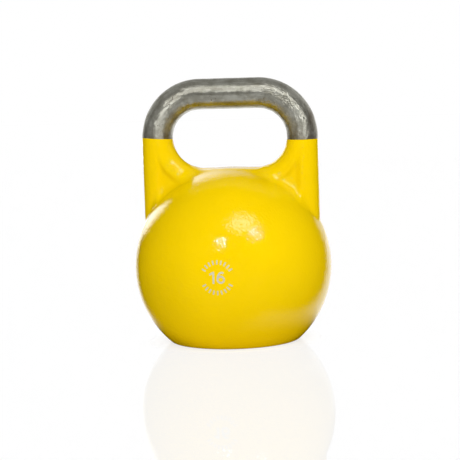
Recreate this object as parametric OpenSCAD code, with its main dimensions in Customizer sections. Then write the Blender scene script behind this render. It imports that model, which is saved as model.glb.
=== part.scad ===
// Competition kettlebell: a hollow cast ball with two horns, a bare steel grip welded across them,
// and a welded plate with a filler plug under the foot. Millimetres, +Z up, +X along the grip,
// origin on the floor under the middle of the ball.

/* [Ball] */
// Diameter of the ball
ball_d = 210; // [204:1:216]
// Height of the ball's centre above the floor
ball_z = 80; // [77:1:84]
// Thickness of the hollow casting's wall
wall = 9.5; // [7:0.5:12]

/* [Handle] */
// Overall height of the kettlebell
overall_h = 280; // [274:1:288]
// Diameter of the grip and of the horns
grip_d = 33; // [31:0.5:35]
// Overall width across the two horns
handle_w = 189; // [183:1:194]
// Bend radius of the grip's corners, to the middle of the bar
bend_r = 46.5; // [43:0.5:49]
// Straight length of the grip below each bend
grip_leg = 3.5; // [2:0.5:8]
// Height of the butt weld between a horn and the grip
weld_h = 1.5; // [1:0.25:3]

/* [Horns] */
// Radius of the hand window's lower corners
window_r = 33; // [30:0.5:36]
// Depth of the shallow pocket between a horn's leg and its rib
pocket_depth = 3; // [2:0.25:4]
// Width of the round band from a crest to the pocket's edge
pocket_margin = 2.3; // [1.5:0.1:3.5]
// Width of the pocket's sloping wall
pocket_slope = 3.5; // [2:0.25:5]

/* [Foot] */
// Radius of the rounded edge round the foot
foot_edge_r = 6; // [3:0.5:10]
// Depth of the hollow under the foot
foot_hollow = 2.5; // [2:0.25:4]
// Diameter of the hollow under the foot
foot_hollow_d = 104; // [98:1:110]
// Diameter of the closing plate
plate_d = 90; // [84:1:94]
// Thickness of the closing plate
plate_t = 8; // [7:0.5:10]
// Thickness of the ledge that the closing plate seats on
ledge_t = 4; // [3:0.5:6]
// Width of that ledge
ledge_w = 7; // [5:0.5:9]
// Leg length of the weld bead round the closing plate
bead_w = 3; // [2:0.5:4]

/* [Filler plug] */
// Thread diameter of the plug
plug_d = 20; // [16:1:22]
// Diameter of the plug's head and of its seal
plug_head_d = 30; // [28:1:32]
// Thickness of the plug's head
plug_head_t = 3.5; // [3:0.5:4]
// Key size of the plug's hex socket, across its flats
key_w = 10; // [8:1:12]
// Thickness of the seal under the plug's head
seal_t = 1; // [0.75:0.25:1.5]
// Height of the threaded boss on the plate
boss_h = 8; // [6:0.5:12]
// Thickness of the boss's wall round the thread
boss_wall = 10; // [6:0.5:12]
// Depth of the hex socket
socket_depth = 8; // [5:0.5:9]
// How far the plug's face is sunk above the hollow's roof
plug_sink = 0.5; // [0:0.1:1]
// Gap round the plug's head in its recess
recess_gap = 1; // [0.5:0.1:2]
// Bevel on the plug's head and on its tip
plug_bevel = 1; // [0.5:0.1:1.5]

/* [Filling] */
// Depth of the bonded ballast over the foot
ballast_h = 26.25; // [15:0.25:50]

/* [Hidden] */
$fn = 128;
slack = 10;                                  // how far a cutting shape runs past what it cuts
ball_r = ball_d / 2;
cavity_r = ball_r - wall;
grip_r = grip_d / 2;
leg_x = handle_w / 2 - grip_r;               // from the middle to a leg's axis
bend_x = leg_x - bend_r;                     // centre of a grip corner
bend_z = overall_h - grip_r - bend_r;
joint_z = bend_z - grip_leg;                 // where the bare steel starts
horn_top = joint_z - weld_h;
leg_foot_z = ball_z + grip_r;                // a leg's lower end, buried in the ball's wall
rib_r = window_r + grip_r;                   // bend radius of the rib under the window
rib_x = leg_x - rib_r;                       // centre of a rib corner
rib_z = ball_z + ball_r + window_r;
web_y = grip_r - pocket_depth;               // half the thickness of the web
crest_y = sqrt(grip_r * grip_r - pocket_margin * pocket_margin);
slope_run = pocket_slope / (crest_y - web_y);
plate_z = foot_hollow;
floor_z = plate_z + plate_t + ledge_t;       // floor of the cavity
mouth_r = plate_d / 2 - ledge_w;
plug_r = plug_d / 2;
head_r = plug_head_d / 2;
head_z = plate_z + plug_sink;
seal_z = head_z + plug_head_t;
recess_r = head_r + recess_gap;
recess_top = seal_z + seal_t;
boss_r = plug_r + boss_wall;
boss_top = plate_z + plate_t + boss_h;
plug_end = boss_top - plug_bevel;

// A shape and its mirror image on the other side of the handle
module both_sides() {
    children();
    mirror([1, 0, 0]) children();
}

// A shape and its mirror image behind the handle
module front_and_back() {
    children();
    mirror([0, 1, 0]) children();
}

// A quarter of a bent round bar, about an axis along Y through (x, z), from angle a0
module bent_bar(x, z, bend, r, a0) {
    translate([x, 0, z]) rotate([90, 0, 0])
        rotate_extrude(angle = 90, start = a0) translate([bend, 0]) circle(r);
}

// Outline of the solid ball from its axis outwards: a circle cut flat, with a rounded foot edge
module ball_outline() {
    edge_x = sqrt(pow(ball_r - foot_edge_r, 2) - pow(ball_z - foot_edge_r, 2));
    meet = ball_r / (ball_r - foot_edge_r);
    difference() {
        intersection() {
            translate([0, ball_z]) circle(ball_r);
            square([ball_r + slack, ball_z + ball_r + slack]);
        }
        difference() {
            polygon([[edge_x, -slack], [edge_x, foot_edge_r],
                     [edge_x * meet, ball_z - (ball_z - foot_edge_r) * meet],
                     [edge_x * meet + slack, -slack]]);
            translate([edge_x, foot_edge_r]) circle(foot_edge_r);
        }
    }
}

// Space of the pocket on one face of one horn: below both crests, down to the web
module pocket() {
    deep = web_y + slack;
    rib_edge = rib_r + pocket_margin + pocket_slope;
    leg_edge = leg_x - pocket_margin - pocket_slope;
    intersection() {
        translate([rib_x, 0, rib_z]) rotate([90, 0, 0]) rotate_extrude()
            polygon([[rib_edge, web_y], [rib_edge - slope_run * slack, deep],
                     [ball_d, deep], [ball_d, web_y]]);
        translate([0, 0, leg_foot_z - slack]) linear_extrude(horn_top)
            polygon([[0, -web_y], [leg_edge, -web_y],
                     [leg_edge + slope_run * slack, -deep], [0, -deep]]);
    }
}

// One horn: the leg, the rib that follows the window's corner, and the pocketed web between them
module horn() {
    difference() {
        union() {
            translate([leg_x, 0, leg_foot_z]) cylinder(r = grip_r, h = horn_top - leg_foot_z);
            intersection() {
                bent_bar(rib_x, rib_z, rib_r, grip_r, 270);
                translate([0, -ball_r, 0]) cube([ball_d, ball_d, horn_top]);
            }
            translate([0, 0, rib_z - rib_r]) rotate([0, 90, 0]) cylinder(r = grip_r, h = rib_x);
            rotate([90, 0, 0]) translate([0, 0, -web_y]) linear_extrude(2 * web_y)
                difference() {
                    translate([rib_x, leg_foot_z]) square([rib_r, horn_top - leg_foot_z]);
                    translate([rib_x, rib_z]) circle(rib_r);
                }
        }
        front_and_back() pocket();
    }
}

// Hollow casting, painted: ball, horns, foot and the mouth that the core was taken out of
module bell_shell() {
    color("gold") difference() {
        union() {
            rotate_extrude() ball_outline();
            both_sides() horn();
        }
        intersection() {
            translate([0, 0, ball_z]) sphere(cavity_r);
            translate([-ball_r, -ball_r, floor_z]) cube([ball_d, ball_d, ball_d]);
        }
        translate([0, 0, -slack]) cylinder(d = foot_hollow_d, h = slack + plate_z);
        translate([0, 0, -slack]) cylinder(d = plate_d, h = slack + plate_z + plate_t);
        translate([0, 0, -slack]) cylinder(r = mouth_r, h = slack + ball_z);
        bead_groove(bead_w);
    }
}

// Bare steel grip, bent from one round bar
module handle_grip() {
    color("silver") {
        translate([-bend_x, 0, bend_z + bend_r]) rotate([0, 90, 0])
            cylinder(r = grip_r, h = 2 * bend_x);
        both_sides() {
            bent_bar(bend_x, bend_z, bend_r, grip_r, 0);
            translate([leg_x, 0, joint_z]) cylinder(r = grip_r, h = grip_leg);
        }
    }
}

// Butt welds between the horns and the grip, ground flush
module handle_welds() {
    color("darkgoldenrod") both_sides()
        translate([leg_x, 0, horn_top]) cylinder(r = grip_r, h = weld_h);
}

// Disc that closes the mouth, with a threaded boss for the filler plug
module core_plate() {
    color("goldenrod") difference() {
        union() {
            translate([0, 0, plate_z]) cylinder(d = plate_d, h = plate_t);
            translate([0, 0, plate_z]) cylinder(r = boss_r, h = plate_t + boss_h);
        }
        translate([0, 0, -slack]) cylinder(r = recess_r, h = slack + recess_top);
        translate([0, 0, -slack]) cylinder(r = plug_r, h = boss_top + 2 * slack);
        bead_groove(bead_w);
    }
}

// V groove over the gap between the closing plate and the casting
module bead_groove(w) {
    rotate_extrude() translate([plate_d / 2, plate_z])
        polygon([[-w / 2, 0], [0, w], [w / 2, 0]]);
}

// Weld bead that fills the groove
module plate_weld() {
    color("peru") bead_groove(bead_w);
}

// Fibre washer under the plug's head
module plug_seal() {
    color("firebrick") translate([0, 0, seal_z]) difference() {
        cylinder(r = head_r, h = seal_t);
        translate([0, 0, -slack]) cylinder(r = plug_r, h = seal_t + 2 * slack);
    }
}

// Threaded plug with a hex socket
module filler_plug() {
    color("dimgray") difference() {
        union() {
            translate([0, 0, head_z]) cylinder(r1 = head_r - plug_bevel, r2 = head_r, h = plug_bevel);
            translate([0, 0, head_z + plug_bevel]) cylinder(r = head_r, h = plug_head_t - plug_bevel);
            translate([0, 0, seal_z]) cylinder(r = plug_r, h = plug_end - plug_bevel - seal_z);
            translate([0, 0, plug_end - plug_bevel])
                cylinder(r1 = plug_r, r2 = plug_r - plug_bevel, h = plug_bevel);
        }
        translate([0, 0, head_z - slack])
            cylinder(d = key_w / cos(30), h = slack + socket_depth, $fn = 6);
    }
}

// Bonded shot that brings the bell to its weight
module ballast() {
    color("slategray") difference() {
        union() {
            intersection() {
                translate([0, 0, ball_z]) sphere(cavity_r);
                translate([-ball_r, -ball_r, floor_z]) cube([ball_d, ball_d, ballast_h]);
            }
            translate([0, 0, plate_z + plate_t]) cylinder(r = mouth_r, h = ledge_t + ballast_h / 2);
        }
        translate([0, 0, plate_z]) cylinder(r = boss_r, h = plate_t + boss_h);
    }
}

bell_shell();
handle_grip();
handle_welds();
core_plate();
plate_weld();
plug_seal();
filler_plug();
ballast();
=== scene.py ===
"""Looks of a competition kettlebell: a yellow enamelled ball and horns, a bare ground steel grip."""

import math

import bmesh
import bpy
import numpy as np
from mathutils import Matrix, Vector


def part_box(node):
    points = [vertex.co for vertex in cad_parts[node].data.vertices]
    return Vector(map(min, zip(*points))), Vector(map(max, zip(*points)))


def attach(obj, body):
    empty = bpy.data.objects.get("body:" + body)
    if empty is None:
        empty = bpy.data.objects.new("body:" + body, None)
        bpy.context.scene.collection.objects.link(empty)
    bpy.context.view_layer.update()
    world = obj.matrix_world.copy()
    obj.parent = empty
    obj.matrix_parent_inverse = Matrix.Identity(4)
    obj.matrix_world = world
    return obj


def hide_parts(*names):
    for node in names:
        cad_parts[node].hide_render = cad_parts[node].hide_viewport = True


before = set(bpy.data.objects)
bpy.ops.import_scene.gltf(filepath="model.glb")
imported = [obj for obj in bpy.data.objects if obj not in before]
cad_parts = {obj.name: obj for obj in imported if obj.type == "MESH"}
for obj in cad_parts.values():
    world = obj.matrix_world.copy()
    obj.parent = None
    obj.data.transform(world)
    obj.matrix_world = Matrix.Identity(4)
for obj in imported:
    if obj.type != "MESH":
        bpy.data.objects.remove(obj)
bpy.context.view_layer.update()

# Sizes of the object, in metres. The frame gives the heights at which its pieces meet.
BALL_R = 0.105
BALL_Z = 0.080
BAR_R = 0.0165
LEG_X = 0.078
BEND_R = 0.0465
WINDOW_R = 0.033
HORN_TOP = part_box("bell_shell")[1].z
JOINT_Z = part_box("handle_grip")[0].z
TOP_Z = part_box("handle_grip")[1].z

# The foot's rounded edge, its centre, and the direction in which it runs into the ball
FOOT_EDGE_R = 0.006
FOOT_EDGE_X = math.sqrt((BALL_R - FOOT_EDGE_R) ** 2 - (BALL_Z - FOOT_EDGE_R) ** 2)
FOOT_TURN_SIN = FOOT_EDGE_X / (BALL_R - FOOT_EDGE_R)
FOOT_TURN_COS = (BALL_Z - FOOT_EDGE_R) / (BALL_R - FOOT_EDGE_R)

# The hollow under the foot, and the mouth above it that the plate and its weld close
FOOT_HOLLOW_R = 0.052
FOOT_HOLLOW = 0.0025
PLATE_R = 0.045
PLATE_T = 0.008
BEAD_W = 0.003
PLATE_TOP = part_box("core_plate")[0].z + PLATE_T

# Centres of the rib under the hand window and of the grip's bends
RIB_R = WINDOW_R + BAR_R
RIB_X = LEG_X - RIB_R
RIB_Z = BALL_Z + BALL_R + WINDOW_R
BEND_X = LEG_X - BEND_R
BEND_Z = TOP_Z - BAR_R - BEND_R

# The pockets in the horns' faces, and the fillets where the horns grow out of the ball
POCKET_DEPTH = 0.0030
POCKET_MARGIN = 0.0023             # from a crest to the pocket's edge
POCKET_SLOPE = 0.0055              # width of the pocket's sloping wall
POCKET_CORNER = 0.003              # how softly its outline turns from the leg to the rib
CREASE = 0.0016                    # how softly the wall leaves the crest
FILLET = 0.0120                    # reach of the fillet
FILLET_TURN = 0.20                 # it fades where the cosine between the two surfaces is this near to 1
FILLET_LESS = 0.75                 # it loses this share outside a leg,
FILLET_LESS_AT = 0.5 * BAR_R       # and has lost it this far out from the leg's middle

# The paint ends at the welds on the right, and was sprayed a little past the bend's start on the left
PAINT_PAST_BEND = 0.0008
PAINT_LEFT_Z = BEND_Z + PAINT_PAST_BEND
PAINT_LEFT_SLOPE = -0.07

CELL = 0.00125                     # grid of the casting's mesh
GRID_MARGIN = 3 * CELL
SLACK = 0.01                       # how far the cutter of the foot's hollow starts below the floor
TINY = 1e-9
SAME = 1e-7                        # points closer than this count as one
FLAT_COS = 0.8                     # a face that agrees less than this with the field is shaded flat

GRIP_RELIEF = 0.0002               # the bare steel lies this much under the paint
GRIP_STEP, GRIP_AROUND = 0.0009, 112     # the bar's mesh: length of its rings, and points round it
GROUND_WAVE = 0.00040              # hand grinding leaves the bar this uneven, as a sum of random waves
WAVE_SEED, WAVE_COUNT = 16, 14
HALF_WAVES_PER_METRE, WAVES_ROUND_BELOW, WAVE_WEIGHT = (15, 160), 4, (0.3, 1.0)

# Nicks in the bar: how far along it, degrees round it from its outer side, radius and depth
NICKS = [(0.0755, -35, 0.0012, 0.00030), (0.0646, -63, 0.0012, 0.00035), (0.0460, -88, 0.0018, 0.00040),
         (0.0450, -77, 0.0090, 0.00110), (0.1610, -104, 0.0035, 0.00030),
         (0.1423, -75, 0.0010, 0.00020), (0.1560, -97, 0.0011, 0.00025), (0.0950, 80, 0.0012, 0.00030)]

# The printed weight mark on the front of the ball
MARK_PROUD = 0.00006
MARK_SUNK = 0.00004
MARK_CELL, MARK_CUTS = 0.001, 18   # it bends with the ball in cells this wide, this many to each side
NUMERAL_H = 0.0123
NUMERAL_STROKE = 0.00195
NUMERAL_GAP = 0.0023
NUMERAL_TURN, EYE_TURN = 6, 10     # degrees between the points of a curve, and of the eye of the 6
TICK_IN = 0.0136
TICK_OUT = 0.0180
TICK_W = 0.0015
TICK_STEP = 15                     # degrees from one tick to the next
TICK_ARC = 30                      # degrees from the horizontal to the first tick of each arc


# ---------------------------------------------------------------- the casting as a solid function

def smooth_union(a, b, k):
    """The nearer of two distances, blended within the reach k."""
    k = np.maximum(k, SAME)
    h = np.maximum(k - np.abs(a - b), 0.0)
    return np.minimum(a, b) - h * h / (4.0 * k)


def horn_distance(x, y, z):
    """Distance to the horns and the rib, and their outward direction, for x >= 0."""
    a = LEG_X - x
    rho = np.hypot(x - RIB_X, z - RIB_Z)
    above, straight = z >= RIB_Z, x <= RIB_X
    b = np.where(above, -a, np.where(straight, RIB_Z - RIB_R - z, rho - RIB_R))
    rho = np.maximum(rho, TINY)
    bx = np.where(above, 1.0, np.where(straight, 0.0, (x - RIB_X) / rho))
    bz = np.where(above, 0.0, np.where(straight, -1.0, (z - RIB_Z) / rho))
    round_a = np.maximum(np.hypot(a, y), TINY)
    round_b = np.maximum(np.hypot(b, y), TINY)
    inner = smooth_union(a, b, POCKET_CORNER) - POCKET_MARGIN
    inner = 0.5 * (inner + np.sqrt(inner * inner + CREASE * CREASE))
    s = np.clip(inner / POCKET_SLOPE, 0.0, 1.0)
    pocket = np.abs(y) - BAR_R + POCKET_DEPTH * (1.0 - (1.0 - s) ** 2)
    outer_leg, in_loop = a < 0, b < 0
    f = np.where(in_loop, round_b - BAR_R, np.where(outer_leg, round_a - BAR_R, pocket))
    nx = np.where(in_loop, b * bx / round_b, np.where(outer_leg, -a / round_a, 0.0))
    ny = np.where(in_loop, y / round_b, np.where(outer_leg, y / round_a, np.sign(y)))
    nz = np.where(in_loop, b * bz / round_b, 0.0)
    return f, nx, ny, nz


def casting(p):
    """Distance to the painted casting, without the hollow under its foot."""
    x, y, z = np.abs(p[:, 0]), p[:, 1], p[:, 2]
    r = np.maximum(np.sqrt(x * x + y * y + (z - BALL_Z) ** 2), TINY)
    ball = r - BALL_R
    out, up = np.hypot(x, y) - FOOT_EDGE_X, z - FOOT_EDGE_R
    on_edge = (out > 0) & (out * FOOT_TURN_COS + up * FOOT_TURN_SIN < 0)
    foot = np.where(on_edge, np.hypot(out, up) - FOOT_EDGE_R, np.maximum(ball, -z))
    horn, nx, ny, nz = horn_distance(x, y, z)
    horn = np.maximum(horn, BALL_Z + BAR_R - z)
    turn = (x * nx + y * ny + (z - BALL_Z) * nz) / r
    k = FILLET * np.clip((1.0 - turn) / FILLET_TURN, 0.0, 1.0)
    k = k * (1.0 - FILLET_LESS * np.clip((x - LEG_X) / FILLET_LESS_AT, 0.0, 1.0))
    return smooth_union(foot, horn, k)


def gradient(field, p, step=0.00002):
    """How the field rises at the points."""
    g = np.empty_like(p)
    for axis in range(3):
        d = np.zeros(3)
        d[axis] = step
        g[:, axis] = (field(p + d) - field(p - d)) / (2.0 * step)
    return g


def settle(field, p, rounds=5, least_slope=1e-6):
    """Moves points along the gradient until they lie on the surface."""
    for _ in range(rounds):
        g = gradient(field, p)
        p = p - g * (field(p) / np.maximum((g * g).sum(1), least_slope))[:, None]
    return p


def surface_net(field, low, high, cell):
    """Quads round every grid cell that the surface crosses, as points and faces."""
    axes = [np.arange(a, b + cell, cell) for a, b in zip(low, high)]
    shape = tuple(len(a) for a in axes)
    value = np.empty(shape, np.float32)
    for i, x in enumerate(axes[0]):
        gy, gz = np.meshgrid(axes[1], axes[2], indexing="ij")
        slab = np.stack([np.full(gy.size, x), gy.ravel(), gz.ravel()], 1)
        value[i] = field(slab).reshape(shape[1:])
    inside = value < 0
    count = np.zeros(tuple(n - 1 for n in shape), np.int8)
    for dx in (0, 1):
        for dy in (0, 1):
            for dz in (0, 1):
                count += inside[dx:shape[0] - 1 + dx, dy:shape[1] - 1 + dy, dz:shape[2] - 1 + dz]
    cells = np.argwhere((count > 0) & (count < 8))
    index = np.full(count.shape, -1, np.int64)
    index[tuple(cells.T)] = np.arange(len(cells))
    points = np.stack([axes[i][cells[:, i]] + cell / 2 for i in range(3)], 1)
    faces = []
    for axis in range(3):
        u, v = (axis + 1) % 3, (axis + 2) % 3
        low_side = np.take(inside, range(shape[axis] - 1), axis)
        high_side = np.take(inside, range(1, shape[axis]), axis)
        edges = np.argwhere(low_side != high_side)
        edges = edges[(edges[:, u] > 0) & (edges[:, v] > 0)
                      & (edges[:, u] < shape[u] - 1) & (edges[:, v] < shape[v] - 1)]
        outward = low_side[tuple(edges.T)]
        step_u, step_v = np.eye(3, dtype=int)[u], np.eye(3, dtype=int)[v]
        ring = [edges - step_u - step_v, edges - step_v, edges, edges - step_u]
        quad = np.stack([index[tuple(c.T)] for c in ring], 1)
        quad[~outward] = quad[~outward][:, ::-1]
        faces.append(quad)
    return points, np.concatenate(faces)


# ---------------------------------------------------------------- meshes

def add_object(name, data):
    """Puts a mesh, a lamp or a camera into the scene."""
    thing = bpy.data.objects.new(name, data)
    bpy.context.scene.collection.objects.link(thing)
    return thing


def mesh_from(name, points, faces):
    mesh = bpy.data.meshes.new(name)
    mesh.from_pydata(np.asarray(points).tolist(), [], np.asarray(faces).tolist())
    mesh.update()
    return add_object(name, mesh)


def cut(piece, spot, keep_above, slope=0.0, side=0):
    """Cuts the mesh by a plane that rises with x, and closes the cut. A side of -1 or 1 cuts only there."""
    bm = bmesh.new()
    bm.from_mesh(piece.data)
    verts = [v for v in bm.verts if v.co.x * side >= 0]
    edges = [e for e in bm.edges if e.verts[0].co.x * side >= 0]
    faces = [f for f in bm.faces if f.verts[0].co.x * side >= 0]
    got = bmesh.ops.bisect_plane(bm, geom=verts + edges + faces, dist=SAME,
                                 plane_co=spot, plane_no=Vector((-slope, 0, 1)).normalized(),
                                 clear_inner=keep_above, clear_outer=not keep_above)
    rim = [e for e in got["geom_cut"] if isinstance(e, bmesh.types.BMEdge)]
    bmesh.ops.holes_fill(bm, edges=rim, sides=0)
    bmesh.ops.dissolve_degenerate(bm, dist=1e-6, edges=bm.edges[:])
    bm.to_mesh(piece.data)
    bm.free()


def shade(piece, field):
    """Smooth normals from the solid function, and flat ones where a face was cut."""
    mesh = piece.data
    mesh.polygons.foreach_set("use_smooth", [True] * len(mesh.polygons))
    co = np.empty(len(mesh.vertices) * 3)
    mesh.vertices.foreach_get("co", co)
    g = gradient(field, co.reshape(-1, 3))
    g /= np.maximum(np.linalg.norm(g, axis=1), TINY)[:, None]
    loop_vertex = np.empty(len(mesh.loops), np.int64)
    mesh.loops.foreach_get("vertex_index", loop_vertex)
    face_normal = np.empty(len(mesh.polygons) * 3)
    mesh.polygons.foreach_get("normal", face_normal)
    sides = np.empty(len(mesh.polygons), np.int64)
    mesh.polygons.foreach_get("loop_total", sides)
    per_loop = np.repeat(face_normal.reshape(-1, 3), sides, axis=0)
    normals = g[loop_vertex]
    flat = (normals * per_loop).sum(1) < FLAT_COS
    normals[flat] = per_loop[flat]
    mesh.normals_split_custom_set(normals.tolist())


def lathe(name, profile, segments=128):
    """Closed solid turned from (radius, height) points that start and end on the axis."""
    bm = bmesh.new()
    rings = []
    for radius, height in profile:
        if radius < TINY:
            rings.append([bm.verts.new((0, 0, height))])
            continue
        turn = [2 * math.pi * i / segments for i in range(segments)]
        rings.append([bm.verts.new((radius * math.cos(t), radius * math.sin(t), height)) for t in turn])
    for low, high in zip(rings, rings[1:]):
        for i in range(segments):
            j = (i + 1) % segments
            corners = [low[i % len(low)], low[j % len(low)], high[j % len(high)], high[i % len(high)]]
            bm.faces.new(list(dict.fromkeys(corners)))
    bmesh.ops.recalc_face_normals(bm, faces=bm.faces)
    mesh = bpy.data.meshes.new(name)
    bm.to_mesh(mesh)
    bm.free()
    return add_object(name, mesh)


def carve(piece, cutter):
    """Takes the cutter out of the piece and throws the cutter away."""
    step = piece.modifiers.new("carve", "BOOLEAN")
    step.operation, step.solver, step.object = "DIFFERENCE", "EXACT", cutter
    view = bpy.context.evaluated_depsgraph_get()
    carved = bpy.data.meshes.new_from_object(piece.evaluated_get(view))
    piece.modifiers.clear()
    piece.data = carved
    bpy.data.objects.remove(cutter)


def build_casting():
    """The painted shell up to its welds, and the painted welds above it, cut from one skin."""
    low = (-BALL_R - GRID_MARGIN, -BALL_R - GRID_MARGIN, -GRID_MARGIN)
    high = (BALL_R + GRID_MARGIN, BALL_R + GRID_MARGIN, PAINT_LEFT_Z + 2 * GRID_MARGIN)
    points, faces = surface_net(casting, low, high, CELL)
    points = settle(casting, points)
    shell = mesh_from("painted_shell", points, faces)
    welds = shell.copy()
    welds.data = shell.data.copy()
    welds.name = "painted_welds"
    bpy.context.scene.collection.objects.link(welds)
    cut(shell, (0, 0, HORN_TOP), False)
    cut(welds, (0, 0, HORN_TOP), True)
    cut(welds, (LEG_X, 0, JOINT_Z), False, side=1)
    cut(welds, (-LEG_X, 0, PAINT_LEFT_Z), False, PAINT_LEFT_SLOPE, side=-1)
    hollow = [(0, -SLACK), (FOOT_HOLLOW_R, -SLACK), (FOOT_HOLLOW_R, FOOT_HOLLOW),
              (PLATE_R + BEAD_W / 2, FOOT_HOLLOW), (PLATE_R, FOOT_HOLLOW + BEAD_W),
              (PLATE_R, PLATE_TOP), (0, PLATE_TOP)]
    carve(shell, lathe("hollow", hollow))
    for piece in (shell, welds):
        shade(piece, casting)
    return shell, welds


def grip_path():
    """Points along the middle of the bar, their outward directions, and the length so far."""
    leg = BEND_Z - JOINT_Z
    stretches = [("leg", leg), ("bend", math.pi / 2 * BEND_R), ("top", 2 * BEND_X),
                 ("bend", math.pi / 2 * BEND_R), ("leg", leg)]
    rows, run = [], 0.0
    for number, (kind, length) in enumerate(stretches):
        n = max(2, round(length / GRIP_STEP))
        for i in range(n + (number == len(stretches) - 1)):
            s = length * i / n
            if kind == "leg":
                side = -1 if number == 0 else 1
                z = JOINT_Z + s if number == 0 else BEND_Z - s
                rows.append(((side * LEG_X, 0, z), (side, 0, 0), run + s))
            elif kind == "top":
                rows.append(((s - BEND_X, 0, TOP_Z - BAR_R), (0, 0, 1), run + s))
            else:
                a = s / BEND_R + (math.pi / 2 if number == 3 else 0)
                out = (-math.cos(a), 0, math.sin(a))
                centre = -BEND_X if number == 1 else BEND_X
                rows.append(((centre + BEND_R * out[0], 0, BEND_Z + BEND_R * out[2]), out, run + s))
        run += length
    return rows


def build_grip():
    """The bare bar as a swept mesh with its own surface coordinates, slightly uneven from grinding."""
    rows, around = grip_path(), GRIP_AROUND
    rng = np.random.default_rng(WAVE_SEED)
    waves = [(rng.uniform(*HALF_WAVES_PER_METRE), int(rng.integers(0, WAVES_ROUND_BELOW)),
              rng.uniform(0, 2 * math.pi), rng.uniform(*WAVE_WEIGHT)) for _ in range(WAVE_COUNT)]
    turn = np.arange(around) * 2 * math.pi / around
    points = []
    for middle, out, run in rows:
        wave = sum(w * np.sin(f * run * math.pi + m * turn + ph) for f, m, ph, w in waves)
        radius = BAR_R - GRIP_RELIEF + GROUND_WAVE * wave / len(waves)
        for along, degrees, size, depth in NICKS:
            off = (turn - math.radians(degrees) + math.pi) % (2 * math.pi) - math.pi
            radius = radius - depth * np.exp(-((run - along) ** 2 + (BAR_R * off) ** 2) / size ** 2)
        way = np.cos(turn)[:, None] * np.array(out) + np.sin(turn)[:, None] * np.array([0, 1.0, 0])
        points.append(np.array(middle) + radius[:, None] * way)
    points = np.concatenate(points)
    faces, uvs = [], []
    for i in range(len(rows) - 1):
        for j in range(around):
            k = (j + 1) % around
            faces.append((i * around + j, i * around + k, (i + 1) * around + k, (i + 1) * around + j))
            v0, v1 = j / around, (j + 1) / around
            uvs += [(rows[i][2], v0), (rows[i][2], v1), (rows[i + 1][2], v1), (rows[i + 1][2], v0)]
    last = (len(rows) - 1) * around
    faces.append(tuple(range(around)))
    faces.append(tuple(last + j for j in reversed(range(around))))
    uvs += [(0, 0)] * (2 * around)
    mesh = bpy.data.meshes.new("ground_grip")
    mesh.from_pydata(points.tolist(), [], faces)
    layer = mesh.uv_layers.new(name="UVMap")
    layer.data.foreach_set("uv", np.array(uvs).ravel())
    mesh.polygons.foreach_set("use_smooth", [len(f) == 4 for f in faces])
    bm = bmesh.new()
    bm.from_mesh(mesh)
    bmesh.ops.recalc_face_normals(bm, faces=bm.faces)
    bm.to_mesh(mesh)
    bm.free()
    return add_object("ground_grip", mesh)


def numeral_one():
    """Outline of a plain figure 1, from the left end of its flag, with its height as 1."""
    stroke = NUMERAL_STROKE / NUMERAL_H
    flag_w, flag_top, flag_end, flag_root, slant = 0.26, 0.84, 0.68, 0.79, 0.02
    return [[(flag_w, 0), (flag_w + stroke, 0), (flag_w + stroke, 1), (flag_w + slant, 1),
             (0, flag_top), (0, flag_end), (flag_w, flag_root)]], flag_w + stroke


def numeral_six():
    """Outlines of a plain figure 6: a bowl with its eye, and a tail that rises from its left side."""
    half = NUMERAL_STROKE / NUMERAL_H / 2
    bowl_x, bowl_z, tail_wider, tail_end = 0.35, 0.335, 0.07, 60
    bowl_w, bowl_h = bowl_x - half, bowl_z - half
    tail_x, tail_w, tail_h = bowl_x + tail_wider, bowl_w + tail_wider, 1 - half - bowl_z

    def bowl(degrees, offset):
        a = math.radians(degrees)
        return (bowl_x + (bowl_w + offset) * math.cos(a), bowl_z + (bowl_h + offset) * math.sin(a))

    def tail(degrees, offset):
        a = math.radians(degrees)
        return (tail_x + (tail_w + offset) * math.cos(a), bowl_z + (tail_h + offset) * math.sin(a))

    def clear(point):
        u, v = (point[0] - tail_x) / (tail_w - half), (point[1] - bowl_z) / (tail_h - half)
        return u * u + v * v < 1

    crotch = next(d for d in range(90, 180) if not clear(bowl(d, half)))
    meet = next(d for d in range(90, 180) if tail(d, -half)[1] < bowl(crotch, half)[1])
    outer = [bowl(d, half) for d in range(180, 360 + crotch, NUMERAL_TURN)]
    outer += [tail(d, -half) for d in range(meet, tail_end, -NUMERAL_TURN)]
    outer += [tail(d, half) for d in range(tail_end, 180, NUMERAL_TURN)]
    eye = [bowl(d, -half) for d in range(0, 360, EYE_TURN)]
    return [outer, eye], 2 * bowl_x


def ticks():
    """Two arcs of short radial ticks, above and below the numerals."""
    bars = []
    for start in (TICK_ARC, 180 + TICK_ARC):
        for degrees in range(start, start + 180 - 2 * TICK_ARC + 1, TICK_STEP):
            c, s = math.cos(math.radians(degrees)), math.sin(math.radians(degrees))
            corners = [(TICK_IN, -TICK_W / 2), (TICK_OUT, -TICK_W / 2),
                       (TICK_OUT, TICK_W / 2), (TICK_IN, TICK_W / 2)]
            bars.append([[(r * c - t * s, r * s + t * c) for r, t in corners]])
    return bars


def wrap(points, radius):
    """Bends flat points round the front of the ball, keeping their distance from the middle."""
    flat = np.asarray(points)
    reach = np.maximum(np.linalg.norm(flat, axis=1), TINY)
    share = np.sin(reach / BALL_R) / reach * radius
    return np.stack([flat[:, 0] * share, -np.cos(reach / BALL_R) * radius, flat[:, 1] * share + BALL_Z], 1)


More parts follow.
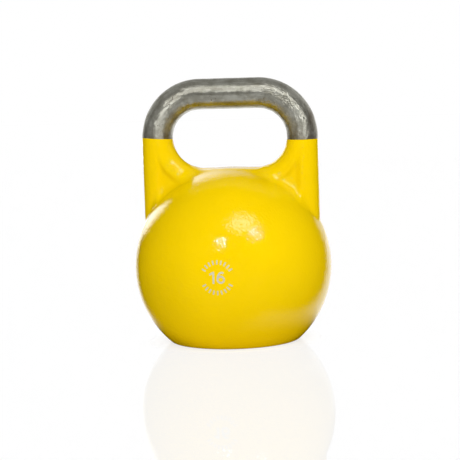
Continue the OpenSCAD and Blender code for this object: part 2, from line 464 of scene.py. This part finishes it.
def build_mark():
    """The weight in kilograms and its ring of ticks, as a thin print on the ball."""
    one, one_w = numeral_one()
    six, six_w = numeral_six()
    gap = NUMERAL_GAP / NUMERAL_H
    left = -(one_w + gap + six_w) / 2
    shapes = ticks()
    for outlines, start in ((one, left), (six, left + one_w + gap)):
        shapes.append([[((x + start) * NUMERAL_H, (z - 0.5) * NUMERAL_H) for x, z in line]
                       for line in outlines])
    bm = bmesh.new()
    for outlines in shapes:
        edges = []
        for line in outlines:
            corners = [bm.verts.new((x, z, 0)) for x, z in line]
            edges += [bm.edges.new(pair) for pair in zip(corners, corners[1:] + corners[:1])]
        bmesh.ops.triangle_fill(bm, use_beauty=True, edges=edges)
    for axis in (0, 1):
        for step in range(-MARK_CUTS, MARK_CUTS + 1):
            spot, normal = [0, 0, 0], [0, 0, 0]
            spot[axis], normal[axis] = step * MARK_CELL, 1
            bmesh.ops.bisect_plane(bm, geom=bm.verts[:] + bm.edges[:] + bm.faces[:], dist=SAME,
                                   plane_co=spot, plane_no=normal)
    bmesh.ops.recalc_face_normals(bm, faces=bm.faces)
    bm.verts.index_update()
    flat = [(v.co.x, v.co.y) for v in bm.verts]
    top = [[v.index for v in (f.verts if f.normal.z > 0 else reversed(f.verts))] for f in bm.faces]
    directed = {(a, b) for f in top for a, b in zip(f, f[1:] + f[:1])}
    rim = [(a, b) for a, b in directed if (b, a) not in directed]
    bm.free()
    n = len(flat)
    points = np.concatenate([wrap(flat, BALL_R + MARK_PROUD), wrap(flat, BALL_R - MARK_SUNK)])
    faces = top + [[i + n for i in reversed(f)] for f in top]
    faces += [[b, a, a + n, b + n] for a, b in sorted(rim)]
    mesh = bpy.data.meshes.new("weight_mark")
    mesh.from_pydata(points.tolist(), [], faces)
    mesh.validate()
    return add_object("weight_mark", mesh)


# ---------------------------------------------------------------- materials

YELLOW = (0.905, 0.61, 0.0005, 1)
GLOSS_TINT = (0.30, 0.74, 1.0, 1)  # keeps the lamps' highlights on the yellow from turning lemon
# The steel tones are partly the steel's own grey and partly a painted reflection: their yellow-green tint
# stands for the yellow enamel mirrored in the grip
STEEL_LIGHT = (0.55, 0.545, 0.475, 1)
STEEL_DARK = (0.38, 0.37, 0.305, 1)
STEEL_DIRT = (0.22, 0.195, 0.15, 1)
MARK_GREY = (0.61, 0.56, 0.42, 1)
FIBRE_DARK, FIBRE_LIGHT = (0.20, 0.02, 0.015, 1), (0.32, 0.05, 0.03, 1)
OXIDE = [(0.3, 0.03), (0.7, 0.06)]       # brightness of the plug by its grain
SHOT_GREY, RESIN = (0.30, 0.30, 0.31, 1), (0.03, 0.03, 0.03, 1)

# Slow waves, ripples and the orange peel of the enamel: noise scale, detail and height of each
PEEL = [(55.0, 2.0, 0.00025), (150.0, 1.0, 0.00013), (450.0, 0.0, 0.00023)]

# Part of a noise's range that a look is spread over: MOST is soft, MIDDLE gives clearer blotches
MOST, MIDDLE = (0.3, 0.7), (0.35, 0.65)

# A darker brown patch on the outer side of the right leg: it starts and ends at these shares of the bar's
# radius, outwards from the leg's middle, and reaches this far up from the joint
PATCH_FROM, PATCH_FROM_EDGE = 0.45, 0.003
PATCH_TO, PATCH_TO_EDGE = 0.80, 0.002
PATCH_UP, PATCH_UP_EDGE = 0.026, 0.008


class Nodes:
    """The node tree of a material or a world, with short ways to add and join nodes."""

    def __init__(self, owner):
        owner.use_nodes = True
        self.owner = owner
        self.tree = owner.node_tree
        self.shader = self.tree.nodes.get("Principled BSDF")

    def add(self, kind):
        return self.tree.nodes.new("ShaderNode" + kind)

    def feed(self, socket, value):
        if isinstance(value, bpy.types.NodeSocket):
            self.tree.links.new(value, socket)
        else:
            socket.default_value = value

    def place(self, kind="Object"):
        return self.add("TexCoord").outputs[kind]

    def axes(self, vector):
        node = self.add("SeparateXYZ")
        self.feed(node.inputs[0], vector)
        return node.outputs

    def vector(self, x, y, z):
        node = self.add("CombineXYZ")
        for socket, value in zip(node.inputs, (x, y, z)):
            self.feed(socket, value)
        return node.outputs[0]

    def grey(self, level):
        return self.vector(level, level, level)

    def math(self, how, a, b=0.0):
        node = self.add("Math")
        node.operation = how
        self.feed(node.inputs[0], a)
        self.feed(node.inputs[1], b)
        return node.outputs[0]

    def length(self, a, b):
        """Length of the vector whose two parts are a and b."""
        return self.math("SQRT", self.math("ADD", self.math("MULTIPLY", a, a), self.math("MULTIPLY", b, b)))

    def dot(self, vector, way):
        node = self.add("VectorMath")
        node.operation = "DOT_PRODUCT"
        self.feed(node.inputs[0], vector)
        self.feed(node.inputs[1], tuple(way))
        return node.outputs["Value"]

    def stretch(self, vector, scale):
        node = self.add("Mapping")
        self.feed(node.inputs["Vector"], vector)
        node.inputs["Scale"].default_value = scale
        return node.outputs["Vector"]

    def noise(self, vector, scale, detail=2.0, rough=0.5):
        node = self.add("TexNoise")
        self.feed(node.inputs["Vector"], vector)
        for key, value in (("Scale", scale), ("Detail", detail), ("Roughness", rough)):
            node.inputs[key].default_value = value
        return node.outputs["Fac"]

    def span(self, value, start, end, low=0.0, high=1.0):
        """Goes smoothly from low to high while value goes from start to end, and stays there."""
        node = self.add("MapRange")
        node.interpolation_type = "SMOOTHSTEP"
        self.feed(node.inputs[0], value)
        for socket, number in zip(node.inputs[1:5], (start, end, low, high)):
            self.feed(socket, number)
        return node.outputs[0]

    def edge(self, value, at, half):
        """Rises smoothly from 0 to 1 within half of at, or falls there where half is negative."""
        return self.span(value, at - half, at + half)

    def ramp(self, value, stops):
        node = self.add("ValToRGB")
        self.feed(node.inputs["Fac"], value)
        band = node.color_ramp
        while len(band.elements) < len(stops):
            band.elements.new(0.5)
        for element, (spot, tone) in zip(band.elements, stops):
            element.position = spot
            element.color = (tone, tone, tone, 1)
        return node.outputs["Color"]

    def mix(self, factor, a, b):
        node = self.add("Mix")
        node.data_type = "RGBA"
        self.feed(node.inputs[0], factor)
        self.feed(node.inputs[6], a)
        self.feed(node.inputs[7], b)
        return node.outputs[2]

    def bump(self, height, distance, under=None):
        node = self.add("Bump")
        node.inputs["Distance"].default_value = distance
        self.feed(node.inputs["Height"], height)
        if under is not None:
            self.feed(node.inputs["Normal"], under)
        return node.outputs["Normal"]


def new_material(name):
    return Nodes(bpy.data.materials.new(name))


def thinner(colour, share):
    """The colour at this share of its brightness, for where the coat is thin."""
    return tuple(c * share for c in colour[:3]) + (1,)


def enamel(name, colour):
    """Gloss enamel sprayed on a casting: an orange peel over slow waves in the metal."""
    n = new_material(name)
    place = n.place()
    normal = None
    for scale, detail, height in PEEL:
        normal = n.bump(n.noise(place, scale, detail), height, normal)
    s = n.shader.inputs
    patches = n.span(n.noise(place, scale=14.0), *MIDDLE)
    n.feed(s["Base Color"], n.mix(patches, colour, thinner(colour, share=0.96)))
    n.feed(s["Roughness"], n.span(n.noise(place, scale=180.0, detail=3.0), *MOST, low=0.06, high=0.12))
    n.feed(s["Normal"], normal)
    s["IOR"].default_value = 1.46
    s["Specular Tint"].default_value = GLOSS_TINT
    return n.owner


def ground_steel(name):
    """Bare steel, ground by hand: streaks along the bar, fine marks round it, pits, stains, and a darker
    brown patch on the right leg.
    """
    n = new_material(name)
    uv = n.add("UVMap")
    uv.uv_map = "UVMap"
    run, turn = n.axes(uv.outputs["UV"])[0:2]
    angle = n.math("MULTIPLY", turn, 2 * math.pi)
    place = n.place()

    def on_bar(cells_round, cells_per_metre, detail):
        """Noise that closes round the bar, with this many cells round it and along it."""
        radius = cells_round / (2 * math.pi)
        spot = n.vector(n.math("MULTIPLY", n.math("COSINE", angle), radius),
                        n.math("MULTIPLY", n.math("SINE", angle), radius),
                        n.math("MULTIPLY", run, cells_per_metre))
        return n.noise(spot, scale=1.0, detail=detail, rough=0.6)

    middle = BEND_Z - JOINT_Z + math.pi / 2 * BEND_R + BEND_X
    from_middle = n.math("ABSOLUTE", n.math("SUBTRACT", run, middle))
    from_joint = n.math("SUBTRACT", middle, from_middle)
    from_right_joint = n.math("SUBTRACT", 2 * middle, run)
    dents = on_bar(12.0, cells_per_metre=110.0, detail=3.0)
    chips = on_bar(30.0, cells_per_metre=320.0, detail=2.0)
    streaks = on_bar(42.0, cells_per_metre=30.0, detail=3.0)
    marks = on_bar(9.0, cells_per_metre=1400.0, detail=2.0)
    pits = n.span(n.noise(place, scale=300.0, detail=1.0), start=0.22, end=0.30)
    on_bends = n.span(from_middle, start=0.030, end=0.045, low=0.5, high=1.5)
    normal = None
    for height, depth in ((n.math("MULTIPLY", dents, on_bends), 0.0010), (chips, 0.00026),
                          (streaks, 0.00012), (marks, 0.000015), (pits, 0.00006)):
        normal = n.bump(height, depth, normal)
    clouds = n.span(n.noise(place, scale=90.0, detail=4.0, rough=0.7), start=0.38, end=0.66)
    tone = n.mix(clouds, STEEL_LIGHT, STEEL_DARK)
    tone = n.mix(n.span(streaks, start=0.35, end=0.60, low=0.35, high=0.0), tone, STEEL_DIRT)
    tone = n.mix(pits, STEEL_DIRT, tone)
    grime = n.math("MULTIPLY", n.span(from_joint, start=0.020, end=0.002),
                   n.span(dents, *MIDDLE, low=0.15, high=0.85))
    tone = n.mix(grime, tone, STEEL_DIRT)
    x = n.axes(place)[0]
    # a darker brown patch on the outer side of the right leg, near its joint
    dark_patch = n.math("MULTIPLY", n.edge(x, LEG_X + PATCH_FROM * BAR_R, PATCH_FROM_EDGE),
                   n.edge(x, LEG_X + PATCH_TO * BAR_R, -PATCH_TO_EDGE))
    dark_patch = n.math("MULTIPLY", dark_patch, n.edge(from_right_joint, PATCH_UP, -PATCH_UP_EDGE))
    dark_patch = n.math("MULTIPLY", dark_patch, n.span(dents, start=0.3, end=0.6, low=0.55, high=1.0))
    tone = n.mix(dark_patch, tone, STEEL_DIRT)
    s = n.shader.inputs
    n.feed(s["Base Color"], tone)
    s["Metallic"].default_value = 1.0
    n.feed(s["Roughness"], n.span(marks, *MOST, low=0.42, high=0.48))
    n.feed(s["Normal"], normal)
    s["Anisotropic"].default_value = 1.0
    tangent = n.add("Tangent")
    tangent.direction_type = "UV_MAP"
    tangent.uv_map = "UVMap"
    n.feed(s["Tangent"], tangent.outputs["Tangent"])
    return n.owner


def mark_ink(name, colour):
    """Pad-printed ink, a little thin in places."""
    n = new_material(name)
    blotch = n.noise(n.place(), scale=700.0, detail=3.0)
    s = n.shader.inputs
    n.feed(s["Base Color"], n.mix(n.span(blotch, *MIDDLE), colour, thinner(colour, share=0.88)))
    n.feed(s["Roughness"], n.span(blotch, *MOST, low=0.38, high=0.50))
    n.feed(s["Normal"], n.bump(blotch, distance=0.00001))
    return n.owner


def dark_steel(name):
    """Black oxide on a turned plug."""
    n = new_material(name)
    grain = n.noise(n.place(), scale=900.0, detail=3.0)
    s = n.shader.inputs
    n.feed(s["Base Color"], n.ramp(grain, OXIDE))
    s["Metallic"].default_value = 1.0
    n.feed(s["Roughness"], n.span(grain, *MOST, low=0.32, high=0.48))
    n.feed(s["Normal"], n.bump(grain, distance=0.00001))
    return n.owner


def fibre(name):
    """Red vulcanised fibre."""
    n = new_material(name)
    grain = n.noise(n.stretch(n.place(), (1.0, 1.0, 4.0)), scale=700.0, detail=4.0)
    s = n.shader.inputs
    n.feed(s["Base Color"], n.mix(grain, FIBRE_DARK, FIBRE_LIGHT))
    s["Roughness"].default_value = 0.7
    n.feed(s["Normal"], n.bump(grain, distance=0.00002))
    return n.owner


def shot_bed(name):
    """Iron shot in dark resin."""
    n = new_material(name)
    balls = n.add("TexVoronoi")
    n.feed(balls.inputs["Vector"], n.place())
    balls.inputs["Scale"].default_value = 400.0
    bead = balls.outputs["Distance"]
    s = n.shader.inputs
    n.feed(s["Base Color"], n.mix(n.span(bead, start=0.3, end=0.5), SHOT_GREY, RESIN))
    s["Metallic"].default_value = 0.8
    s["Roughness"].default_value = 0.5
    n.feed(s["Normal"], n.bump(bead, distance=-0.0004))
    return n.owner


# ---------------------------------------------------------------- camera, lights and floor

CAMERA_TURN = math.radians(9.446)        # the camera stands this far round towards +X
CAMERA_TILT = math.radians(5.788)
CAMERA_ROLL = math.radians(1.811)
CAMERA_BACK = 1.900
CAMERA_HIGH = 0.3104
CAMERA_ASIDE = -0.0026
FOCAL_PIXELS = 1786.3
FRAME_PIXELS = 460
SENSOR_W = 36.0                          # millimetres

# Soft lamps: degrees right of the camera and degrees up, as seen from the ball, distance, width, height,
# watts, and whether reflections show them. The lamp high_edge is the wider glow round high.
LAMPS = {"key": (-15.8, 31.2, 1.05, 0.075, 0.07, 1.5, True),
         "high": (17, 53.4, 1.31, 0.50, 0.32, 1.1, True),
         "high_edge": (17, 53.4, 1.32, 0.76, 0.50, 2.5, True),
         "right": (30.6, 38.4, 1.20, 0.08, 0.08, 1.7, True),
         "front": (0, 4, 2.40, 1.50, 0.34, 14.2, False)}

SKY = 0.44                               # light from all round on matt surfaces

# The enamel mirrors a black studio with two white cards behind the object. Their edges are parts of a unit
# direction, to the camera's right (x) and upwards (z).
CARD_LEFT = -0.625
CARD_LOW_LEFT, CARD_LEAN = -0.42, 0.9    # low down, both start where x + lean * z is this
CARD_EDGE = 0.03                         # half the width of their soft edges
CARD_FOOT = 0.002                        # they start this far above the horizon
HIGH_CARD_LIGHT = 3.9
HIGH_CARD = [(-0.60, 0.95), (-0.45, 0.85), (-0.25, 0.67), (-0.15, 0.50), (-0.05, 0.34),
             (0.05, 0.25), (0.15, 0.14), (0.24, 0.0)]      # its brightness by x, from left to right
HIGH_CARD_TOP, HIGH_CARD_RISE, HIGH_CARD_MOST = 0.84, 0.63, 0.73     # its top slants up to a highest z
HIGH_CARD_RIGHT, HIGH_CARD_TURN = 0.02, 0.30               # its right edge is where x - turn * z is this
HIGH_CARD_FADE = (0.02, 0.26, 0.5, 1.0)                    # between two heights, from half to its full light
LOW_CARD_RIGHT, LOW_CARD_TOP = 0.62, 0.21
LOW_CARD_STEP, LOW_CARD_LIGHT = (0.3, 0.5), (0.8, 1.15)    # its light rises between two places in x

# The bare steel mirrors a grey room: brightness of its walls by degrees to the left and to the right of the
# camera, of its ceiling, and of the floor in front and behind
ROOM_LIGHT = 1.35
ROOM_LEFT = [(0, 0.40), (35, 0.36), (60, 0.33), (100, 0.31), (125, 0.40), (140, 1.00)]
ROOM_RIGHT = [(0, 0.40), (30, 0.26), (50, 0.06), (84, 0.08), (97, 1.00), (145, 1.00)]
ROOM_SIDES_EDGE = 0.1                    # how softly the left and the right walls join
ROOM_HUB = 0.01                          # straight up, where a direction has no side, they run out over this
ROOM_HIGH, ROOM_HIGH_FROM, ROOM_HIGH_EDGE = 0.36, 0.42, 0.16
ROOM_FLOOR, ROOM_FLOOR_BEHIND, ROOM_FLOOR_EDGE = 0.66, 0.08, 0.02
ROOM_FOOT = 0.003                        # the walls start this far above the horizon

CARDS_AWAY, ROOM_AWAY = 3.0, 3.3         # radii of the two domes that carry them
DOME_ROUNDS, DOME_FOOT = 5, 0.001        # a dome is an icosphere pressed flat this far above the floor

FLOOR_HALF = 6.0                         # half its width
FLOOR_TONE = 0.85
FLOOR_SHADOW = 0.30                      # how much of the real contact shadow the white floor keeps,
FLOOR_SHADOW_ENDS = (0.070, 0.100)       # and between which distances from the middle of the foot it ends
FLOOR_LIT = 0.54                         # brightness of the floor's lit paint
FLOOR_GLOSS = 0.12                       # strength of the mirror image in the white floor

# What a reflection in the object sees of the floor: black, but for a glowing white sheet, painted light that
# stands for a lit floor, which starts beside the foot and widens towards the back. Distances are from the
# foot's middle, to the camera's right or away.
FLOOR_SHEET = 1.35
SHEET_FRONT = -0.11
SHEET_CORNER, SHEET_CORNER_SLOPE = -0.086, -0.8
SHEET_LEFT, SHEET_LEFT_SLOPE = -0.10, -0.48
SHEET_RIGHT, SHEET_RIGHT_SLOPE = 0.155, 0.76
SHEET_EDGE = 0.025                       # half the width of its soft edges
SHEET_STARTS = (0.085, 0.15)             # it is dark beside the foot, and lit from the second distance on


def facing(turn):
    """Unit vectors to the camera's right and away from it, on the floor."""
    return (Vector((math.cos(turn), math.sin(turn), 0)), Vector((-math.sin(turn), math.cos(turn), 0)))


def place_camera():
    right, away = facing(CAMERA_TURN)
    spot = right * CAMERA_ASIDE - away * CAMERA_BACK + Vector((0, 0, CAMERA_HIGH))
    look = away * math.cos(CAMERA_TILT) - Vector((0, 0, math.sin(CAMERA_TILT)))
    up = away * math.sin(CAMERA_TILT) + Vector((0, 0, math.cos(CAMERA_TILT)))
    cos_r, sin_r = math.cos(CAMERA_ROLL), math.sin(CAMERA_ROLL)
    x_axis = right * cos_r - up * sin_r
    y_axis = right * sin_r + up * cos_r
    camera = add_object("camera", bpy.data.cameras.new("camera"))
    turn = Matrix((x_axis, y_axis, -look)).transposed().to_4x4()
    camera.matrix_world = Matrix.Translation(spot) @ turn
    camera.data.sensor_width = SENSOR_W
    camera.data.lens = FOCAL_PIXELS / FRAME_PIXELS * SENSOR_W
    bpy.context.scene.camera = camera


def softbox(name, turn, rise, far, width, height, watts, shown):
    """A round soft lamp seen from the object at turn degrees right of the camera and rise degrees up."""
    right, away = facing(CAMERA_TURN)
    t, e = math.radians(turn), math.radians(rise)
    way = (right * math.sin(t) - away * math.cos(t)) * math.cos(e) + Vector((0, 0, math.sin(e)))
    data = bpy.data.lights.new(name, "AREA")
    data.shape, data.size, data.size_y = "ELLIPSE", width, height
    data.energy = watts
    lamp = add_object(name, data)
    lamp.visible_glossy = shown
    lamp.location = Vector((0, 0, BALL_Z)) + way * far
    lamp.rotation_euler = way.to_track_quat("Z", "Y").to_euler()


def light_world():
    """White all round for the camera, an even sky for matt surfaces, and black for reflections."""
    world = bpy.data.worlds.new("studio")
    bpy.context.scene.world = world
    n = Nodes(world)
    n.tree.nodes.clear()
    path = n.add("LightPath").outputs
    seen = n.math("MAXIMUM", path["Is Camera Ray"], path["Is Transmission Ray"])
    seen = n.math("MAXIMUM", seen, path["Is Singular Ray"])
    colour = n.mix(path["Is Glossy Ray"], (SKY, SKY, SKY, 1), (0, 0, 0, 1))
    shine, out = n.add("Background"), n.add("OutputWorld")
    n.feed(shine.inputs["Color"], n.mix(seen, colour, (1, 1, 1, 1)))
    n.feed(out.inputs["Surface"], shine.outputs[0])


def studio_dome(name, radius, mirrors, paint):
    """A dome of light that only the given pieces mirror, and that nothing else sees."""
    bm = bmesh.new()
    bmesh.ops.create_icosphere(bm, subdivisions=DOME_ROUNDS, radius=radius)
    for vert in bm.verts:
        vert.co.z = max(vert.co.z, DOME_FOOT)
    mesh = bpy.data.meshes.new(name)
    bm.to_mesh(mesh)
    bm.free()
    dome = add_object(name, mesh)
    n = new_material(name)
    n.tree.nodes.clear()
    place = n.stretch(n.place(), (1 / radius, 1 / radius, 1 / radius))
    to_right, away = facing(CAMERA_TURN)
    glow, clear, both = n.add("Emission"), n.add("BsdfTransparent"), n.add("AddShader")
    n.feed(glow.inputs["Color"], paint(n, n.dot(place, to_right), n.axes(place)[2], n.dot(place, away)))
    n.feed(both.inputs[0], glow.outputs[0])
    n.feed(both.inputs[1], clear.outputs[0])
    n.feed(n.add("OutputMaterial").inputs["Surface"], both.outputs[0])
    only_mirrored_by(dome, n.owner, mirrors)


def only_mirrored_by(light, material, mirrors):
    """Lets a glowing mesh show only in the reflections of the given pieces."""
    light.data.materials.append(material)
    material.cycles.emission_sampling = "NONE"
    for kind in ("camera", "diffuse", "transmission", "volume_scatter", "shadow"):
        setattr(light, "visible_" + kind, False)
    group = bpy.data.collections.new(light.name)
    for piece in mirrors:
        group.objects.link(piece)
    light.light_linking.receiver_collection = group


def white_cards(n, x, z, behind):
    """Two white cards behind the object, in a black studio."""
    back = n.math("MULTIPLY", n.math("GREATER_THAN", behind, 0.0), n.math("GREATER_THAN", z, CARD_FOOT))
    lean = n.math("ADD", x, n.math("MULTIPLY", z, CARD_LEAN))
    both = n.math("MULTIPLY", back, n.edge(lean, CARD_LOW_LEFT, CARD_EDGE))
    tone = n.axes(n.ramp(n.math("ADD", n.math("MULTIPLY", x, 0.5), 0.5),
                         [((at + 1) / 2, level) for at, level in HIGH_CARD]))[0]
    slant = n.math("SUBTRACT", z, n.math("MULTIPLY", x, HIGH_CARD_RISE))
    turn = n.math("SUBTRACT", x, n.math("MULTIPLY", z, HIGH_CARD_TURN))
    high = n.math("MULTIPLY", tone, HIGH_CARD_LIGHT)
    for limit in (n.edge(x, CARD_LEFT, CARD_EDGE), n.edge(slant, HIGH_CARD_TOP, -CARD_EDGE),
                  n.edge(z, HIGH_CARD_MOST, -CARD_EDGE), n.edge(turn, HIGH_CARD_RIGHT, -CARD_EDGE),
                  n.span(z, *HIGH_CARD_FADE)):
        high = n.math("MULTIPLY", high, limit)
    low = n.span(x, *LOW_CARD_STEP, *LOW_CARD_LIGHT)
    for limit in (n.edge(x, LOW_CARD_RIGHT, -CARD_EDGE), n.edge(z, LOW_CARD_TOP, -CARD_EDGE)):
        low = n.math("MULTIPLY", low, limit)
    return n.grey(n.math("MULTIPLY", both, n.math("MAXIMUM", high, low)))


def grey_room(n, aside, up, behind):
    """Walls that change with the direction, a ceiling, and a lit floor in front."""
    turn = n.math("DIVIDE", behind, n.math("MAXIMUM", n.length(aside, behind), ROOM_HUB))
    turn = n.math("MULTIPLY", n.math("ADD", turn, 1.0), 0.5)
    left, right = (n.ramp(turn, [((1 - math.cos(math.radians(degrees))) / 2, tone)
                                 for degrees, tone in walls]) for walls in (ROOM_LEFT, ROOM_RIGHT))
    walls = n.mix(n.edge(aside, 0.0, ROOM_SIDES_EDGE), left, right)
    walls = n.mix(n.edge(up, ROOM_HIGH_FROM, ROOM_HIGH_EDGE), walls, (ROOM_HIGH,) * 3 + (1,))
    ground = n.span(behind, -ROOM_FLOOR_EDGE, ROOM_FLOOR_EDGE, ROOM_FLOOR, ROOM_FLOOR_BEHIND)
    room = n.mix(n.math("GREATER_THAN", up, ROOM_FOOT), n.grey(ground), walls)
    return n.grey(n.math("MULTIPLY", n.axes(room)[0], ROOM_LIGHT))


def mix_shader(n, factor, a, b):
    node = n.add("MixShader")
    n.feed(node.inputs[0], factor)
    n.feed(node.inputs[1], a)
    n.feed(node.inputs[2], b)
    return node.outputs[0]


def lay_floor():
    """A white floor that keeps a faint shadow and a faint mirror image of what stands on it."""
    half = FLOOR_HALF
    floor = mesh_from("floor", [(-half, -half, 0), (half, -half, 0), (half, half, 0), (-half, half, 0)],
                      [(0, 1, 2, 3)])
    n = new_material("white_floor")
    n.tree.nodes.clear()
    place = n.place()
    to_right, away = facing(CAMERA_TURN)
    reach = n.length(*n.axes(place)[0:2])
    aside, behind = n.dot(place, to_right), n.dot(place, away)
    left = n.math("SUBTRACT", aside, n.math("MULTIPLY", behind, SHEET_LEFT_SLOPE))
    right = n.math("SUBTRACT", aside, n.math("MULTIPLY", behind, SHEET_RIGHT_SLOPE))
    corner = n.math("SUBTRACT", behind, n.math("MULTIPLY", aside, SHEET_CORNER_SLOPE))
    sheet = n.edge(left, SHEET_LEFT, SHEET_EDGE)
    for limit in (n.edge(right, SHEET_RIGHT, -SHEET_EDGE), n.edge(behind, SHEET_FRONT, SHEET_EDGE),
                  n.edge(corner, SHEET_CORNER, SHEET_EDGE), n.span(reach, *SHEET_STARTS)):
        sheet = n.math("MULTIPLY", sheet, limit)
    matt, mirror = n.add("BsdfDiffuse"), n.add("BsdfGlossy")
    glow, shown = n.add("Emission"), n.add("Emission")
    matt.inputs["Color"].default_value = (FLOOR_TONE, FLOOR_TONE, FLOOR_TONE, 1)
    mirror.inputs["Color"].default_value = (1, 1, 1, 1)
    mirror.inputs["Roughness"].default_value = 0.0
    n.feed(shown.inputs["Strength"], n.math("MULTIPLY", sheet, FLOOR_SHEET))
    share = n.span(reach, *FLOOR_SHADOW_ENDS, FLOOR_SHADOW, 0.0)
    lit = n.math("SUBTRACT", 1.0, n.math("MULTIPLY", share, FLOOR_LIT))
    n.feed(glow.inputs["Strength"], n.math("DIVIDE", lit, n.math("SUBTRACT", 1.0, share)))
    white = mix_shader(n, share, glow.outputs[0], matt.outputs[0])
    white = mix_shader(n, FLOOR_GLOSS, white, mirror.outputs[0])
    # The camera sees the white paint, reflections see the sheet, and all other light meets the matt floor
    path = n.add("LightPath").outputs
    surface = mix_shader(n, path["Is Camera Ray"], matt.outputs[0], white)
    surface = mix_shader(n, path["Is Glossy Ray"], surface, shown.outputs[0])
    out = n.add("OutputMaterial")
    n.feed(out.inputs["Surface"], surface)
    floor.data.materials.append(n.owner)


# ---------------------------------------------------------------- the scene

bpy.context.scene.view_settings.view_transform = "Standard"

yellow = enamel("yellow_enamel", YELLOW)
shell, welds = build_casting()
grip = build_grip()
pieces = [(shell, yellow, "yellow_enamel", ["bell_shell"]),
          (welds, yellow, "yellow_enamel", ["handle_welds"]),
          (grip, ground_steel("bare_steel"), "bare_steel", ["handle_grip"]),
          (build_mark(), mark_ink("mark_grey", MARK_GREY), "mark_grey", [])]
for piece, material, slot, nodes in pieces:
    piece.data.materials.append(material)
    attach(piece, "root")
    if nodes:
        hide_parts(*nodes)

finishes = {"core_plate": yellow, "plate_weld": yellow, "plug_seal": fibre("seal_fibre"),
            "filler_plug": dark_steel("plug_steel"), "ballast": shot_bed("bonded_shot")}
for name, material in finishes.items():
    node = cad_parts[name]
    node.data.materials.clear()
    node.data.materials.append(material)

lay_floor()
light_world()
studio_dome("white_cards", CARDS_AWAY, [shell, welds], white_cards)
studio_dome("grey_room", ROOM_AWAY, [grip], grey_room)
for name, setting in LAMPS.items():
    softbox(name, *setting)
place_camera()
